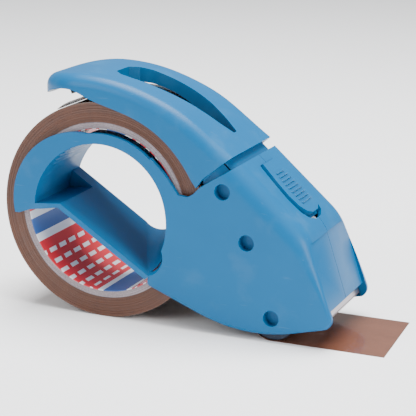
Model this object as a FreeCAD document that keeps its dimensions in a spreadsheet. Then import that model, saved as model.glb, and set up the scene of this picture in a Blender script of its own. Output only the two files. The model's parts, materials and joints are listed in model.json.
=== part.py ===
"""Ring-type hand dispenser for packing tape, as a parametric FreeCAD document.

Every outline is drawn about the axis of the tape roll: X runs ahead of the roll to the cutter, Y is the
roll's axis, Z is up. Points ahead of the roll are measured from the roll's front (X) and from the ground
(Z), points round the roll by angle and standoff. Placement then moves each sub-part into the part's own
frame: its origin is on the ground, under the middle of the whole dispenser.
"""
import FreeCAD, Part
import math
import os
import Sketcher

VECTOR = FreeCAD.Vector

SIZES = {
    # roll and tape
    "roll_radius": 50.0, "tape_width": 50.0, "core_bore_radius": 38.0, "core_wall": 3.0,
    "liner_thickness": 0.3, "tape_thickness": 0.15, "film_gap": 0.3,
    # shells
    "wall": 2.2, "side_wall": 2.0, "side_gap": 1.0, "roll_clearance": 2.0, "seam_gap": 0.25,
    "shoulder_round": 13.0, "cheek_round": 1.2, "bend_radius": 22.0,
    "nose_radius": 4.5, "keel_radius": 72.0, "heel_radius": 1.8,
    # hub that carries the roll
    "hub_clearance": 2.6, "hub_offset_x": -1.4, "hub_offset_z": -1.2, "hub_wall": 2.2, "hub_length": 42.0,
    "rim_length": 8.0, "plate_thickness": 2.4, "flange_thickness": 2.3, "rib_depth": 0.7, "rib_sunk": 0.5,
    "rib_count": 11, "rib_first_angle": 103.0, "rib_pitch_angle": 5.6,
    # fasteners and their bosses
    "boss_radius": 5.3, "recess_radius": 3.65, "recess_depth": 9.0, "dimple_depth": 4.0,
    "screw_radius": 1.5, "screw_head_radius": 2.8, "screw_head_height": 2.2, "screw_grip": 9.0,
    "screw_bite": 12.0, "screw_clearance": 0.2, "pilot_clearance": 0.0,
    # roller
    "roller_radius": 10.8, "tyre_thickness": 2.6, "running_clearance": 0.06, "roller_end_gap": 1.0,
    # handle
    "handle_wall": 2.4, "handle_round": 6.0, "slot_wall": 1.8, "collar_depth": 9.0, "collar_clearance": 4.0,
    "neck_clearance": 0.7, "neck_wall": 2.0, "lug_thickness": 3.0, "lug_radius": 8.2,
    "pad_thickness": 2.0, "pad_half_width": 17.0, "pad_gap": 2.6, "pad_clearance": 2.0, "pad_seat": 4.4,
    # thumb slider and cutter
    "slider_travel": 2.5, "slider_proud": 1.3, "slider_gap": 0.4, "slider_foot": 2.0,
    "foot_first": 5.0, "foot_last": 32.0, "foot_half_width": 11.5,
    "blade_thickness": 0.6, "blade_height": 12.5, "blade_edge": 33.4,
    "blade_tooth_depth": 1.1, "blade_teeth": 33, "carrier_thickness": 2.0, "carrier_gap": 0.5,
    "carrier_first": 6.0, "carrier_last": 26.9, "carrier_side_gap": 1.0,
    "rail_first": 3.0, "rail_last": 24.0, "rail_thickness": 1.6, "rail_width": 3.0, "overlap": 0.4,
    "blade_side_gap": 0.6, "blade_corner": 2.6, "strap_thickness": 0.8, "strap_half_width": 5.0,
    "rivet_radius": 1.6, "rivet_head_radius": 2.8, "rivet_head_height": 1.0, "rivet_spacing": 14.0,
    "rivet_inset": 3.2,
    # springs
    "spring_wire": 0.6, "spring_radius": 2.4, "spring_turns": 7, "spring_pitch": 1.6,
    "torsion_turns": 6, "torsion_pitch": 1.1, "torsion_gap": 0.8, "torsion_start": 10.0,
    # guide leaf
    "leaf_thickness": 0.8, "leaf_half_width": 20.0, "leaf_gap": 0.6, "leaf_above": 5.0,
    "leaf_short_of_roller": 8.0, "arm_half_height": 3.0, "arm_length": 11.0, "arm_inset": 4.0,
    "collar_wall": 1.2,
}

# Points of the nose: how far ahead of the roll's front, and how high above the ground.
NOSE = {
    "shoulder": (15.5, 77.7), "spine_bend": (47.8, 49.4), "toe": (62.3, 10.4), "keel": (20.8, -0.3),
    "heel": (-27.0, 18.7), "notch_left": (-13.6, 64.6),
    "notch_low_left": (-11.7, 62.2), "notch_low": (-7.3, 61.8), "notch_low_right": (-4.5, 63.5),
    "notch_right": (-1.2, 67.0), "panel_top": (49.3, 44.0), "panel_foot": (58.7, 16.3),
    "pivot": (9.2, 65.9), "middle": (20.9, 44.2), "roller": (33.2, 11.25), "tail": (84.4, 0.0),
    "handle_end": (12.3, 81.0), "handle_end_low": (0.3, 71.2),
    "skirt_tip": (-3.2, 66.4), "skirt_tip_left": (-5.5, 69.4),
}

# Points round the roll: angle above the forward direction, and standoff from the roll's surface.
CROWN = [(39.0, 13.9), (52.0, 11.4), (67.4, 9.8), (81.0, 10.1), (96.3, 12.0), (108.0, 14.5), (117.0, 16.6)]
TIP_ANGLE, TIP_STANDOFF = 129.0, 17.5
TIP_LOW_ANGLE, TIP_LOW_STANDOFF = 129.0, 11.0
SKIRT = [(113.0, 9.0), (103.7, 6.3), (97.9, 2.7), (90.0, -0.3), (80.0, -1.9), (64.8, -2.5), (50.0, -2.5),
         (36.0, -2.2)]
HANDLE_TIP_REACH, HANDLE_TIP_CENTRE = 25.0, -12.0


class Size:
    """A number together with the expression that binds a property to the sheet."""

    def __init__(self, value, text):
        self.value = float(value)
        self.text = text

    def __add__(self, other):
        other = as_size(other)
        return Size(self.value + other.value, "(" + self.text + " + " + other.text + ")")

    def __sub__(self, other):
        other = as_size(other)
        return Size(self.value - other.value, "(" + self.text + " - " + other.text + ")")

    def __mul__(self, other):
        other = as_size(other)
        return Size(self.value * other.value, self.text + " * " + other.text)

    def __truediv__(self, other):
        other = as_size(other)
        return Size(self.value / other.value, self.text + " / (" + other.text + ")")

    def __neg__(self):
        return Size(-self.value, "(0 - " + self.text + ")")

    __radd__ = __add__
    __rmul__ = __mul__

    def __rsub__(self, other):
        return as_size(other) - self

    def __float__(self):
        return self.value


def as_size(number):
    """A Size as it is, and a plain number as a Size with its own text."""
    if isinstance(number, Size):
        return number
    return Size(number, repr(float(number)))


document = FreeCAD.newDocument("TapeDispenser")
sheet = document.addObject("Spreadsheet::Sheet", "Sizes")
cells = dict(SIZES)
for point_name, (ahead, above) in NOSE.items():
    cells[point_name + "_ahead"] = ahead
    cells[point_name + "_above"] = above
for row, (alias, number) in enumerate(cells.items(), start=1):
    sheet.set("A%d" % row, alias)
    sheet.set("B%d" % row, str(number))
    sheet.setAlias("B%d" % row, alias)
document.recompute()


class Sheet:
    """The sheet's cells, read as attributes: s.roll_radius."""

    def __getattr__(self, alias):
        return Size(float(sheet.get(alias)), "Sizes." + alias)


s = Sheet()
nodes = []


def nose_point(name):
    """A named point of the nose, about the roll's axis."""
    return (s.roll_radius + getattr(s, name + "_ahead"), getattr(s, name + "_above") - s.roll_radius)


def polar(angle, radius, centre=(0.0, 0.0)):
    """A point at an angle and radius, as plain numbers."""
    turn = math.radians(angle)
    return (float(centre[0]) + float(radius) * math.cos(turn),
            float(centre[1]) + float(radius) * math.sin(turn))


def standoff_point(angle, standoff):
    """A point near the roll's surface."""
    return polar(angle, s.roll_radius + standoff)


def spot(point, across=0.0):
    """The 3D place of a point of a side outline."""
    return VECTOR(float(point[0]), float(across), float(point[1]))


def bind(thing, name, number):
    """Bind a property to the sheet."""
    thing.setExpression(name, as_size(number).text)


def recomputed(thing):
    document.recompute()
    return thing


# ---------------------------------------------------------------- building blocks

def fill_sketch(drawing, points):
    """Draw straight lines round the points of a sketch, each corner bound to the sheet."""
    count = len(points)
    places = [VECTOR(float(a), float(b), 0) for a, b in points]
    drawing.addGeometry([Part.LineSegment(places[i], places[(i + 1) % count]) for i in range(count)])
    for i in range(count):
        drawing.addConstraint(Sketcher.Constraint("Coincident", i, 2, (i + 1) % count, 1))
    for i, point in enumerate(points):
        for kind, axis, number in (("DistanceX", "a", point[0]), ("DistanceY", "b", point[1])):
            place = drawing.addConstraint(Sketcher.Constraint(kind, i, 1, float(number)))
            drawing.renameConstraint(place, "%s%d" % (axis, i))
            bind(drawing, "Constraints.%s%d" % (axis, i), number)


def outline(name, points):
    """A closed sketch of straight lines in the XZ plane."""
    drawing = document.addObject("Sketcher::SketchObject", name + "_outline")
    drawing.Placement = FreeCAD.Placement(VECTOR(), FreeCAD.Rotation(VECTOR(1, 0, 0), 90))
    fill_sketch(drawing, points)
    return drawing


def slab(name, points, low, high):
    """A straight-sided block: an outline in XZ, extruded across from low to high."""
    block = document.addObject("Part::Extrusion", name)
    block.Base = outline(name, points)
    block.DirMode = "Custom"
    block.Dir = VECTOR(0, 1, 0)
    block.Solid = True
    bind(block, "LengthFwd", high)
    bind(block, "LengthRev", -as_size(low))
    return block


def rod(name, centre, radius, low, high):
    """A round bar across the dispenser."""
    bar = document.addObject("Part::Cylinder", name)
    bar.Placement.Rotation = FreeCAD.Rotation(VECTOR(1, 0, 0), -90)
    bind(bar, "Radius", radius)
    bind(bar, "Height", as_size(high) - low)
    bind(bar, "Placement.Base.x", centre[0])
    bind(bar, "Placement.Base.y", low)
    bind(bar, "Placement.Base.z", centre[1])
    return bar


def box(name, low, high):
    """A box between two corners."""
    block = document.addObject("Part::Box", name)
    for side, axis, start, end in zip(("Length", "Width", "Height"), "xyz", low, high):
        bind(block, side, as_size(end) - start)
        bind(block, "Placement.Base." + axis, start)
    return block


def fuse(name, *pieces):
    joined = document.addObject("Part::MultiFuse", name)
    joined.Shapes = list(pieces)
    joined.Refine = True
    return recomputed(joined)


def cut(name, base, *tools):
    tool = tools[0] if len(tools) == 1 else fuse(name + "_tools", *tools)
    rest = document.addObject("Part::Cut", name)
    rest.Base = base
    rest.Tool = tool
    return recomputed(rest)


def common(name, base, tool):
    shared = document.addObject("Part::Common", name)
    shared.Base = base
    shared.Tool = tool
    return recomputed(shared)


def drawn(name, shape):
    """A shape made with Part's own functions, for what outlines and primitives don't give."""
    feature = document.addObject("Part::Feature", name)
    feature.Shape = shape
    return feature


def rounded(name, base, rules):
    """Round the edges that a rule picks; a rule gives the two end radii of an edge, or nothing."""
    recomputed(base)
    edges = []
    for number, edge in enumerate(base.Shape.Edges, start=1):
        radii = next((found for found in (rule(edge) for rule in rules) if found), None)
        if radii:
            edges.append((number, float(radii[0]), float(radii[1])))
    smooth = document.addObject("Part::Fillet", name)
    smooth.Base = base
    smooth.Edges = edges
    return recomputed(smooth)


def across_at(point, radius, reach=0.6):
    """A rule for the edges that run across the dispenser through a point."""
    def rule(edge):
        ends = [vertex.Point for vertex in edge.Vertexes]
        if len(ends) != 2 or abs(ends[0].y - ends[1].y) < 1.0:
            return None
        near = all(math.hypot(end.x - float(point[0]), end.z - float(point[1])) < reach for end in ends)
        return (radius, radius) if near else None
    return rule


def turned(name, profile, centre):
    """A body of revolution about an axis across the dispenser: profile points are (radius, across)."""
    body = document.addObject("PartDesign::Body", name)
    plane = next(item for item in body.Origin.OriginFeatures if item.Role == "XY_Plane")
    drawing = body.newObject("Sketcher::SketchObject", name + "_profile")
    drawing.AttachmentSupport = [(plane, "")]
    drawing.MapMode = "FlatFace"
    fill_sketch(drawing, profile)
    turn = body.newObject("PartDesign::Revolution", name + "_turn")
    turn.Profile = drawing
    turn.ReferenceAxis = (drawing, ["V_Axis"])
    turn.Angle = 360
    return node(body, name, centre)


def tube(name, centre, inner, outer, low, high):
    return turned(name, [(inner, low), (outer, low), (outer, high), (inner, high)], centre)


def node(thing, label, centre=(0.0, 0.0)):
    """Name a finished sub-part and place it in the part's own frame."""
    thing.Label = label
    bind(thing, "Placement.Base.x", as_size(centre[0]) + frame_x)
    bind(thing, "Placement.Base.z", as_size(centre[1]) + frame_z)
    nodes.append(thing)
    return thing


# ---------------------------------------------------------------- shared places

tail_x = nose_point("tail")[0]
frame_x = (s.roll_radius - tail_x) / 2
frame_z = s.roll_radius
half_tape = s.tape_width / 2
inner_y = half_tape + s.side_gap
outer_y = inner_y + s.side_wall
pivot = nose_point("pivot")
middle = nose_point("middle")
roller = nose_point("roller")
AXIS = (0.0, 0.0)
CORE_DRAWN = 38.0


def in_core(number):
    """A length drawn for a bore radius of CORE_DRAWN, carried over to the core's real bore."""
    return number * float(s.core_bore_radius) / CORE_DRAWN


def core_points(points):
    """Points about the roll's axis that keep their place in the core's bore."""
    return [(in_core(x), in_core(z)) for x, z in points]


plate_left, plate_right = core_points([(-20.4, 1.9), (23.9, -26.9)])
hub_radius = s.core_bore_radius - s.hub_clearance
hub_centre = (s.hub_offset_x, s.hub_offset_z)
rim_start = s.hub_length - s.rim_length - outer_y
hub_end = s.hub_length - outer_y
FAR = 200.0


def unit(start, end):
    """The direction from one point to another, and the normal on its left."""
    run, rise = float(end[0]) - float(start[0]), float(end[1]) - float(start[1])
    length = math.hypot(run, rise)
    along = VECTOR(run / length, 0, rise / length)
    return along, VECTOR(-along.z, 0, along.x)


spine_along, spine_out = unit(nose_point("shoulder"), nose_point("spine_bend"))
panel_along, panel_out = unit(nose_point("panel_top"), nose_point("panel_foot"))
plate_along, plate_up = unit(plate_left, plate_right)


def shifted(point, *moves):
    """A point moved by (direction, distance) pairs, as plain numbers."""
    x, z = float(point[0]), float(point[1])
    for direction, distance in moves:
        x += direction.x * float(distance)
        z += direction.z * float(distance)
    return (x, z)


# ---------------------------------------------------------------- roll

def make_roll():
    core_radius = s.core_bore_radius + s.core_wall
    liner_bore = s.core_bore_radius - s.liner_thickness
    tube("core_liner", AXIS, liner_bore, s.core_bore_radius, -half_tape, half_tape)
    tube("roll_core", AXIS, s.core_bore_radius, core_radius, -half_tape, half_tape)
    tube("tape_winding", AXIS, core_radius, s.roll_radius, -half_tape, half_tape)


def sector(centre, inner, outer, first, last, half_width):
    """Part of a flat ring between two angles."""
    def arc(radius):
        ends = [spot(polar(angle, radius, centre)) for angle in (first, (first + last) / 2, last)]
        return Part.Arc(*ends).toShape()
    low, high = arc(inner), arc(outer)
    sides = [Part.makeLine(low.Vertexes[i].Point, high.Vertexes[i].Point) for i in (0, 1)]
    face = Part.Face(Part.Wire(Part.__sortEdges__([low, high] + sides)))
    face.translate(VECTOR(0, -float(half_width), 0))
    return face.extrude(VECTOR(0, 2 * float(half_width), 0))


def strip(start, end, out, thickness):
    """A flat run of film between two points, thickened along out."""
    corners = [spot(start), spot(end), spot(end) + out * thickness, spot(start) + out * thickness]
    face = Part.Face(Part.makePolygon(corners + corners[:1]))
    face.translate(VECTOR(0, -float(half_tape), 0))
    return face.extrude(VECTOR(0, float(s.tape_width), 0))


LAP_FIRST, LAP_LAST, LAP_RISE = 90.0, 117.0, 1.6
TAIL_SKEW = 2.5
WEB_ROOM = 0.5


def leave_angle():
    """The angle at which the tape leaves the roll for the far side of the roller."""
    distance = math.hypot(float(roller[0]), float(roller[1]))
    direction = math.degrees(math.atan2(float(roller[1]), float(roller[0])))
    reach = float(s.roll_radius + s.roller_radius + s.film_gap * 2 + s.tape_thickness)
    return direction + math.degrees(math.acos(reach / distance))


def web_run(spare):
    """The straight run of film from the roll to the roller, with spare room on both faces."""
    thickness = float(s.tape_thickness)
    leave = leave_angle()
    out = VECTOR(math.cos(math.radians(leave)), 0, math.sin(math.radians(leave)))
    start = polar(leave, float(s.roll_radius + s.film_gap) - spare)
    end = polar(leave + 180, float(s.roller_radius + s.film_gap) + thickness + spare, roller)
    return strip(start, end, out, thickness + 2 * spare)


def make_web():
    """The free tape: round the roll under the handle, down to the roller, under it and out."""
    thickness = float(s.tape_thickness)
    inner = float(s.roll_radius + s.film_gap)
    roller_inner = float(s.roller_radius + s.film_gap)
    leave = leave_angle()
    on_roll = sector(AXIS, inner, inner + thickness, leave, LAP_FIRST + 1, half_tape)
    half_angle = math.radians((LAP_LAST - LAP_FIRST) / 2)
    half_chord = inner * math.sin(half_angle)
    rise = inner * (1 - math.cos(half_angle)) + LAP_RISE
    lap_radius = (half_chord ** 2 + rise ** 2) / (2 * rise)
    lap_middle = (LAP_FIRST + LAP_LAST) / 2
    lap_centre = polar(lap_middle, inner + LAP_RISE - lap_radius)
    lap_half = math.degrees(math.asin(half_chord / lap_radius))
    lap = sector(lap_centre, lap_radius, lap_radius + thickness, lap_middle - lap_half,
                 lap_middle + lap_half, half_tape)
    down = web_run(0.0)
    under = sector(roller, roller_inner, roller_inner + thickness, leave + 180, 270.0, half_tape)
    bottom = float(roller[1]) - roller_inner - thickness
    tail_start, tail_end, half = float(roller[0]), float(tail_x), float(half_tape)
    corners = [VECTOR(tail_start, -half, bottom), VECTOR(tail_end, -half, bottom),
               VECTOR(tail_end - TAIL_SKEW, half, bottom), VECTOR(tail_start, half, bottom)]
    tail = Part.Face(Part.makePolygon(corners + corners[:1])).extrude(VECTOR(0, 0, thickness))
    shape = on_roll.multiFuse([lap, down, under, tail]).removeSplitter()
    node(drawn("tape_web_film", shape), "tape_web")


# ---------------------------------------------------------------- nose shells

REAR_REACH, CREST_DEPTH = 16.0, 6.0
HOOD_BEFORE_PLATE = ["shoulder", "spine_bend", "toe", "keel", "heel"]
HOOD_AFTER_PLATE = ["notch_left", "notch_low_left", "notch_low", "notch_low_right", "notch_right"]


def along_spine(level, inset):
    """A rule for the long edges over the nose: wide rounding at the shoulder, crisp at the cheeks."""
    shoulder, toe = nose_point("shoulder"), nose_point("toe")

    def rule(edge):
        ends = [vertex.Point for vertex in edge.Vertexes]
        if len(ends) != 2 or any(abs(abs(end.y) - level) > 0.1 for end in ends):
            return None
        centre = edge.valueAt((edge.FirstParameter + edge.LastParameter) / 2)
        ahead = (centre - VECTOR(float(shoulder[0]), centre.y, float(shoulder[1]))).dot(spine_along)
        behind = (centre - VECTOR(float(toe[0]), centre.y, float(toe[1]))).dot(panel_out)
        if centre.x < float(shoulder[0]) - REAR_REACH or behind < -CREST_DEPTH or ahead < -REAR_REACH:
            return None
        if centre.z < float(toe[1]) + CREST_DEPTH and inset == 1.0:
            return None
        radii = []
        for end in ends:
            fall = (float(shoulder[1]) - end.z) / (float(shoulder[1]) - float(toe[1]))
            fall = min(max(fall, 0.0), 1.0)
            radii.append(max(float(s.shoulder_round) * (1 - fall) ** 0.8, float(s.cheek_round)) * inset)
        return radii
    return rule


def crossing(first, along, second, other):
    """Where two lines of the side outline meet."""
    spread = along.x * other.z - along.z * other.x
    step = ((second[0] - first[0]) * other.z - (second[1] - first[1]) * other.x) / spread
    return (first[0] + along.x * step, first[1] + along.z * step)


def hood(name):
    """The outer form of the nose, both sides."""
    places = [nose_point(corner) for corner in HOOD_BEFORE_PLATE]
    places.append(shifted(plate_right, (plate_up, -s.plate_thickness / 2)))
    places += [nose_point(corner) for corner in HOOD_AFTER_PLATE]
    block = slab(name + "_block", places, -outer_y, outer_y)
    bends = rounded(name + "_bends", block, [
        across_at(nose_point("spine_bend"), s.bend_radius), across_at(nose_point("toe"), s.nose_radius),
        across_at(nose_point("keel"), s.keel_radius), across_at(nose_point("heel"), s.heel_radius)])
    return rounded(name + "_crest", bends, [along_spine(float(outer_y), 1.0)])


def hollow(name, gap=0.0):
    """The space inside the nose: open underneath, at the roll and at the shoulder."""
    wall = float(s.wall + gap)
    half = inner_y - gap
    top = shifted(nose_point("shoulder"), (spine_out, -wall), (spine_along, -30.0))
    bend = crossing(top, spine_along, shifted(nose_point("panel_top"), (panel_out, -wall)), panel_along)
    foot = shifted(nose_point("panel_foot"), (panel_out, -wall), (panel_along, 40.0))
    left = float(nose_point("heel")[0]) - 20.0
    points = [top, bend, foot, (left, foot[1]), (left, top[1])]
    block = slab(name + "_block", points, -half, half)
    bends = rounded(name + "_bend", block, [across_at(bend, float(s.bend_radius) - wall)])
    return rounded(name + "_crest", bends, [along_spine(float(half), 0.85)])


UNDERSIDE = core_points([(-28.8, -1.5), (-36.0, -2.5), (-41.5, -4.6), (-60.0, -4.6), (-60.0, -90.0)])
FLANGE_LEFT_CENTRE = core_points([(-10.5, 2.0)])[0]
FLANGE_LEFT_RADIUS, FLANGE_TOP_RADIUS = in_core(33.9), in_core(36.3)
FLANGE_ROOT = core_points([(20.0, 10.0), (24.7, 27.6), (32.0, 20.4), (36.4, 14.6), (36.0, 2.0),
                           (28.0, -8.0)])
# The finger opening at its near and far end: corner right of the plate, foot of the right wall, right
# side, crown, left foot.
NEAR_MOUTH = core_points([(23.9, -26.9), (29.0, -23.6), (30.3, -14.5), (32.3, -7.0), (32.2, 2.0),
                          (-0.6, 31.5), (-33.4, 0.6)])
FAR_MOUTH = core_points([(3.7, -13.9), (10.6, -17.0), (17.0, -14.9), (26.5, -5.0), (30.0, 5.0),
                         (-1.4, 31.2), (-33.0, 0.6)])


def mouth_wire(points, across):
    """A mouth of the finger opening: plate, corner, right wall, arch and left foot."""
    corner, corner_mid, foot, wall_mid, side, crown, left = [spot(point, across) for point in points]
    start = spot(plate_left, across)
    return Part.Wire([Part.makeLine(start, corner), Part.Arc(corner, corner_mid, foot).toShape(),
                      Part.Arc(foot, wall_mid, side).toShape(), Part.Arc(side, crown, left).toShape(),
                      Part.makeLine(left, start)])


def finger_opening():
    """The D-shaped way through the hub, narrower at its far end."""
    near, far = -float(outer_y), float(hub_end)
    spread = 1.0 / (far - near)
    mouths = []
    for place in (near - 1.0, far + 1.0):
        share = (place - near) * spread
        points = [(a[0] + (b[0] - a[0]) * share, a[1] + (b[1] - a[1]) * share)
                  for a, b in zip(NEAR_MOUTH, FAR_MOUTH)]
        mouths.append(mouth_wire(points, place))
    return drawn("finger_opening", Part.makeLoft(mouths, True, True))


def under_hub():
    """Everything below the chord plate and the flange's lower edge."""
    below = -float(s.plate_thickness)
    right = shifted(plate_right, (plate_up, below))
    left = shifted(plate_left, (plate_up, below))
    return slab("under_hub", [right, left] + UNDERSIDE + [(right[0], UNDERSIDE[-1][1])], -FAR, FAR)


opening = finger_opening()
below_hub = under_hub()


def hub_rod(name, low, high):
    return cut(name, rod(name + "_round", hub_centre, hub_radius, low, high), below_hub)


def flange():
    """The crescent that keeps the roll on its hub, and the wall that joins it to the nose."""
    inner = -outer_y + s.flange_thickness
    left = rod("flange_left", FLANGE_LEFT_CENTRE, FLANGE_LEFT_RADIUS, -outer_y, inner)
    top = rod("flange_top", AXIS, FLANGE_TOP_RADIUS, -outer_y, inner)
    root = slab("flange_root", FLANGE_ROOT, -outer_y, inner)
    return cut("flange", fuse("flange_whole", left, top, root), below_hub)


def finger_ribs():
    """Long ribs on the arch of the hub, for the fingers."""
    ribs = []
    count = int(float(s.rib_count))
    for number in range(count):
        angle = float(s.rib_first_angle) + number * float(s.rib_pitch_angle)
        place = polar(angle, float(hub_radius - s.hub_wall - s.rib_sunk), hub_centre)
        ribs.append(rod("rib_%d" % number, place, s.rib_depth, -half_tape + 1, rim_start))
    return fuse("finger_ribs", *ribs)


def bosses(name, low, high):
    return [rod(name + "_" + place, nose_point(place), s.boss_radius, low, high)
            for place in ("pivot", "middle", "roller")]


def slider_stations():
    """Half-widths of the thumb slider along the spine."""
    return [(0.6, 7.2), (11.0, 9.6), (19.0, 10.8), (25.0, 10.2), (29.0, 7.6), (31.0, 3.2)]


def on_plane(name, origin, along, out, outline_points, low, high):
    """A block standing on a slanted plane: its outline is (along, across), its height along out."""
    drawing = document.addObject("Sketcher::SketchObject", name + "_outline")
    across = VECTOR(0, 1, 0)
    drawing.Placement = FreeCAD.Placement(spot(origin), FreeCAD.Rotation(along, across, out, "ZXY"))
    fill_sketch(drawing, outline_points)
    block = document.addObject("Part::Extrusion", name)
    block.Base = drawing
    block.DirMode = "Custom"
    block.Dir = out
    block.Solid = True
    bind(block, "LengthFwd", high)
    bind(block, "LengthRev", -as_size(low))
    return block


def both_sides(stations):
    """A closed outline from its half-widths."""
    return [(a, b) for a, b in stations] + [(a, -b) for a, b in reversed(stations)]


def grown(stations, gap, travel):
    """Slider half-widths grown by a gap, with room for its travel at the tip."""
    grow, room = float(gap), float(travel)
    first = [(stations[0][0] - grow, stations[0][1] + grow)]
    wide = [(a, b + grow) for a, b in stations[1:3]]
    tip = [(a + room + grow, b + grow) for a, b in stations[3:]]
    return first + wide + tip


slider_origin = shifted(nose_point("shoulder"), (spine_along, 4.6))


def shell_tools():
    """What both shells are cut by: the recess over the panel, the cutter's mouth, the slider's slot."""
    half_mouth = half_tape
    top, foot = nose_point("panel_top"), nose_point("panel_foot")
    recess = slab("panel_recess", [shifted(top, (panel_along, -2.0)), shifted(foot, (panel_along, 14.0)),
                                   shifted(foot, (panel_along, 14.0), (panel_out, 14.0)),
                                   shifted(top, (panel_along, -2.0), (panel_out, 14.0))],
                  -half_mouth, half_mouth)
    mouth = slab("cutter_mouth", [shifted(foot, (panel_out, 4.0)), shifted(foot, (panel_out, -8.0)),
                                  shifted(foot, (panel_out, -8.0), (panel_along, 20.0)),
                                  shifted(foot, (panel_out, 4.0), (panel_along, 20.0))],
                 -half_mouth, half_mouth)
    slot = on_plane("slider_slot", slider_origin, spine_along, spine_out,
                    both_sides(grown(slider_stations(), s.slider_gap, s.slider_travel)),
                    -float(s.wall) - 6.0, 12.0)
    return [recess, mouth, slot]


def rails(side):
    """Ledges behind the blade carrier, on one side wall."""
    behind = -(s.wall + s.film_gap + s.blade_thickness + s.carrier_thickness + s.carrier_gap)
    back = behind - s.rail_thickness
    corners = [(s.rail_first, behind), (s.rail_last, behind), (s.rail_last, back), (s.rail_first, back)]
    points = [shifted(nose_point("panel_top"), (panel_along, a), (panel_out, b)) for a, b in corners]
    low, high = inner_y - s.rail_width, inner_y + s.overlap
    if side < 0:
        low, high = -high, -low
    return slab("rail_%s" % ("far" if side > 0 else "near"), points, low, high)


def make_shells():
    """The two half shells and the three screws, which enter from the far side."""
    walls = cut("walls", hood("hood"), hollow("space"), *shell_tools())
    seam = s.seam_gap / 2
    seat = outer_y - s.recess_depth
    joint = seat - s.screw_grip
    tip = joint - s.screw_bite
    past = s.overlap
    near_half = common("near_half", walls, box("near_side", (-FAR, -FAR, -FAR), (FAR, -seam, FAR)))
    ring = fuse("near_ring", hub_rod("hub_tube", -outer_y, rim_start), flange())
    joined = cut("near_open", fuse("near_joined", near_half, ring), opening)
    ribs = cut("ribs_clear", finger_ribs(), below_hub)
    bossed = fuse("near_bossed", joined, rails(-1), *bosses("near_boss", -inner_y - past, joint))
    ribbed = fuse("near_ribbed", bossed, ribs)
    far_half = common("far_half", walls, box("far_side", (-FAR, seam, -FAR), (FAR, FAR, FAR)))
    room = rod("roll_room", AXIS, s.roll_radius + s.roll_clearance, -FAR, FAR)
    far_open = cut("far_half_open", far_half, room)
    far_joined = fuse("far_joined", far_open, rails(1), *bosses("far_boss", joint, inner_y + past))
    near_holes, far_holes = [], []
    for place in ("pivot", "middle", "roller"):
        centre = nose_point(place)
        near_holes.append(rod("dimple_" + place, centre, s.recess_radius, -outer_y - past,
                              -outer_y + s.dimple_depth))
        near_holes.append(rod("pilot_" + place, centre, s.screw_radius + s.pilot_clearance,
                              tip - past, joint + past))
        far_holes.append(rod("recess_" + place, centre, s.recess_radius, seat, outer_y + past))
        far_holes.append(rod("screw_way_" + place, centre, s.screw_radius + s.screw_clearance,
                             joint - past, seat + past))
        head_top = seat + s.screw_head_height
        turned(place + "_screw", [(0, tip), (s.screw_radius, tip), (s.screw_radius, seat),
                                  (s.screw_head_radius, seat), (s.screw_head_radius, head_top),
                                  (0, head_top)], centre)
    node(cut("near_shell_whole", ribbed, *near_holes), "near_shell")
    node(cut("far_shell_whole", far_joined, *far_holes), "far_shell")


def make_rim():
    """The rim that closes the hub's far end, with the strip that carries on from the chord plate."""
    ring = hub_rod("rim_ring", rim_start, hub_end)
    corners = core_points([(-33.5, 10.4), (-36.5, 6.0), (-36.5, -3.0), (-21.7, -0.1)])
    pocket = slab("rim_pocket", [plate_left] + corners, rim_start, hub_end)
    hole = cut("rim_hole", opening, pocket)
    node(cut("rim_whole", ring, hole), "hub_rim")


# ---------------------------------------------------------------- handle

def crown_curve(inset, reach):
    """The line over the handle, from its lower end to its tip, moved in by an inset."""
    end = shifted(nose_point("handle_end"), (spine_out, -inset), (spine_along, reach))
    points = [end] + [standoff_point(angle, standoff - inset) for angle, standoff in CROWN]
    return [spot(point) for point in points]


def handle_side():
    """The side outline of the handle."""
    crown = Part.BSplineCurve()
    tip = spot(standoff_point(TIP_ANGLE, TIP_STANDOFF))
    crown.interpolate(crown_curve(0.0, 0.0) + [tip])
    low = spot(standoff_point(TIP_LOW_ANGLE, TIP_LOW_STANDOFF))
    skirt = Part.BSplineCurve()
    skirt_points = [spot(standoff_point(angle, standoff)) for angle, standoff in SKIRT]
    skirt.interpolate([low] + skirt_points + [spot(nose_point("skirt_tip_left"))])
    corner_names = ("skirt_tip_left", "skirt_tip", "handle_end_low", "handle_end")
    corners = [spot(nose_point(name)) for name in corner_names]
    edges = [crown.toShape(), Part.makeLine(tip, low), skirt.toShape()]
    edges += [Part.makeLine(corners[i], corners[i + 1]) for i in range(3)]
    return Part.Face(Part.Wire(Part.__sortEdges__(edges)))


def across_block(name, face, low, high):
    """A face of the side outline, extruded across."""
    moved = face.copy()
    moved.translate(VECTOR(0, float(low), 0))
    return drawn(name, moved.extrude(VECTOR(0, float(high) - float(low), 0)))


def handle_plan(name, half_width, reach):
    """The plan of the handle: straight sides and a rounded tip."""
    centre = HANDLE_TIP_CENTRE
    tip = Part.Ellipse(VECTOR(), max(half_width, reach), min(half_width, reach))
    turn = FreeCAD.Rotation(VECTOR(0, 0, 1), 90 if half_width > reach else 0)
    frame = FreeCAD.Placement(VECTOR(centre, 0, 0), turn)
    edge = tip.toShape()
    edge.Placement = frame
    disc = Part.Face(Part.Wire(edge))
    disc.translate(VECTOR(0, 0, -FAR))
    round_end = disc.extrude(VECTOR(0, 0, 2 * FAR))
    straight = Part.makeBox(FAR, 2 * half_width, 2 * FAR, VECTOR(centre, -half_width, -FAR))
    return drawn(name, round_end.fuse(straight).removeSplitter())


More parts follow.
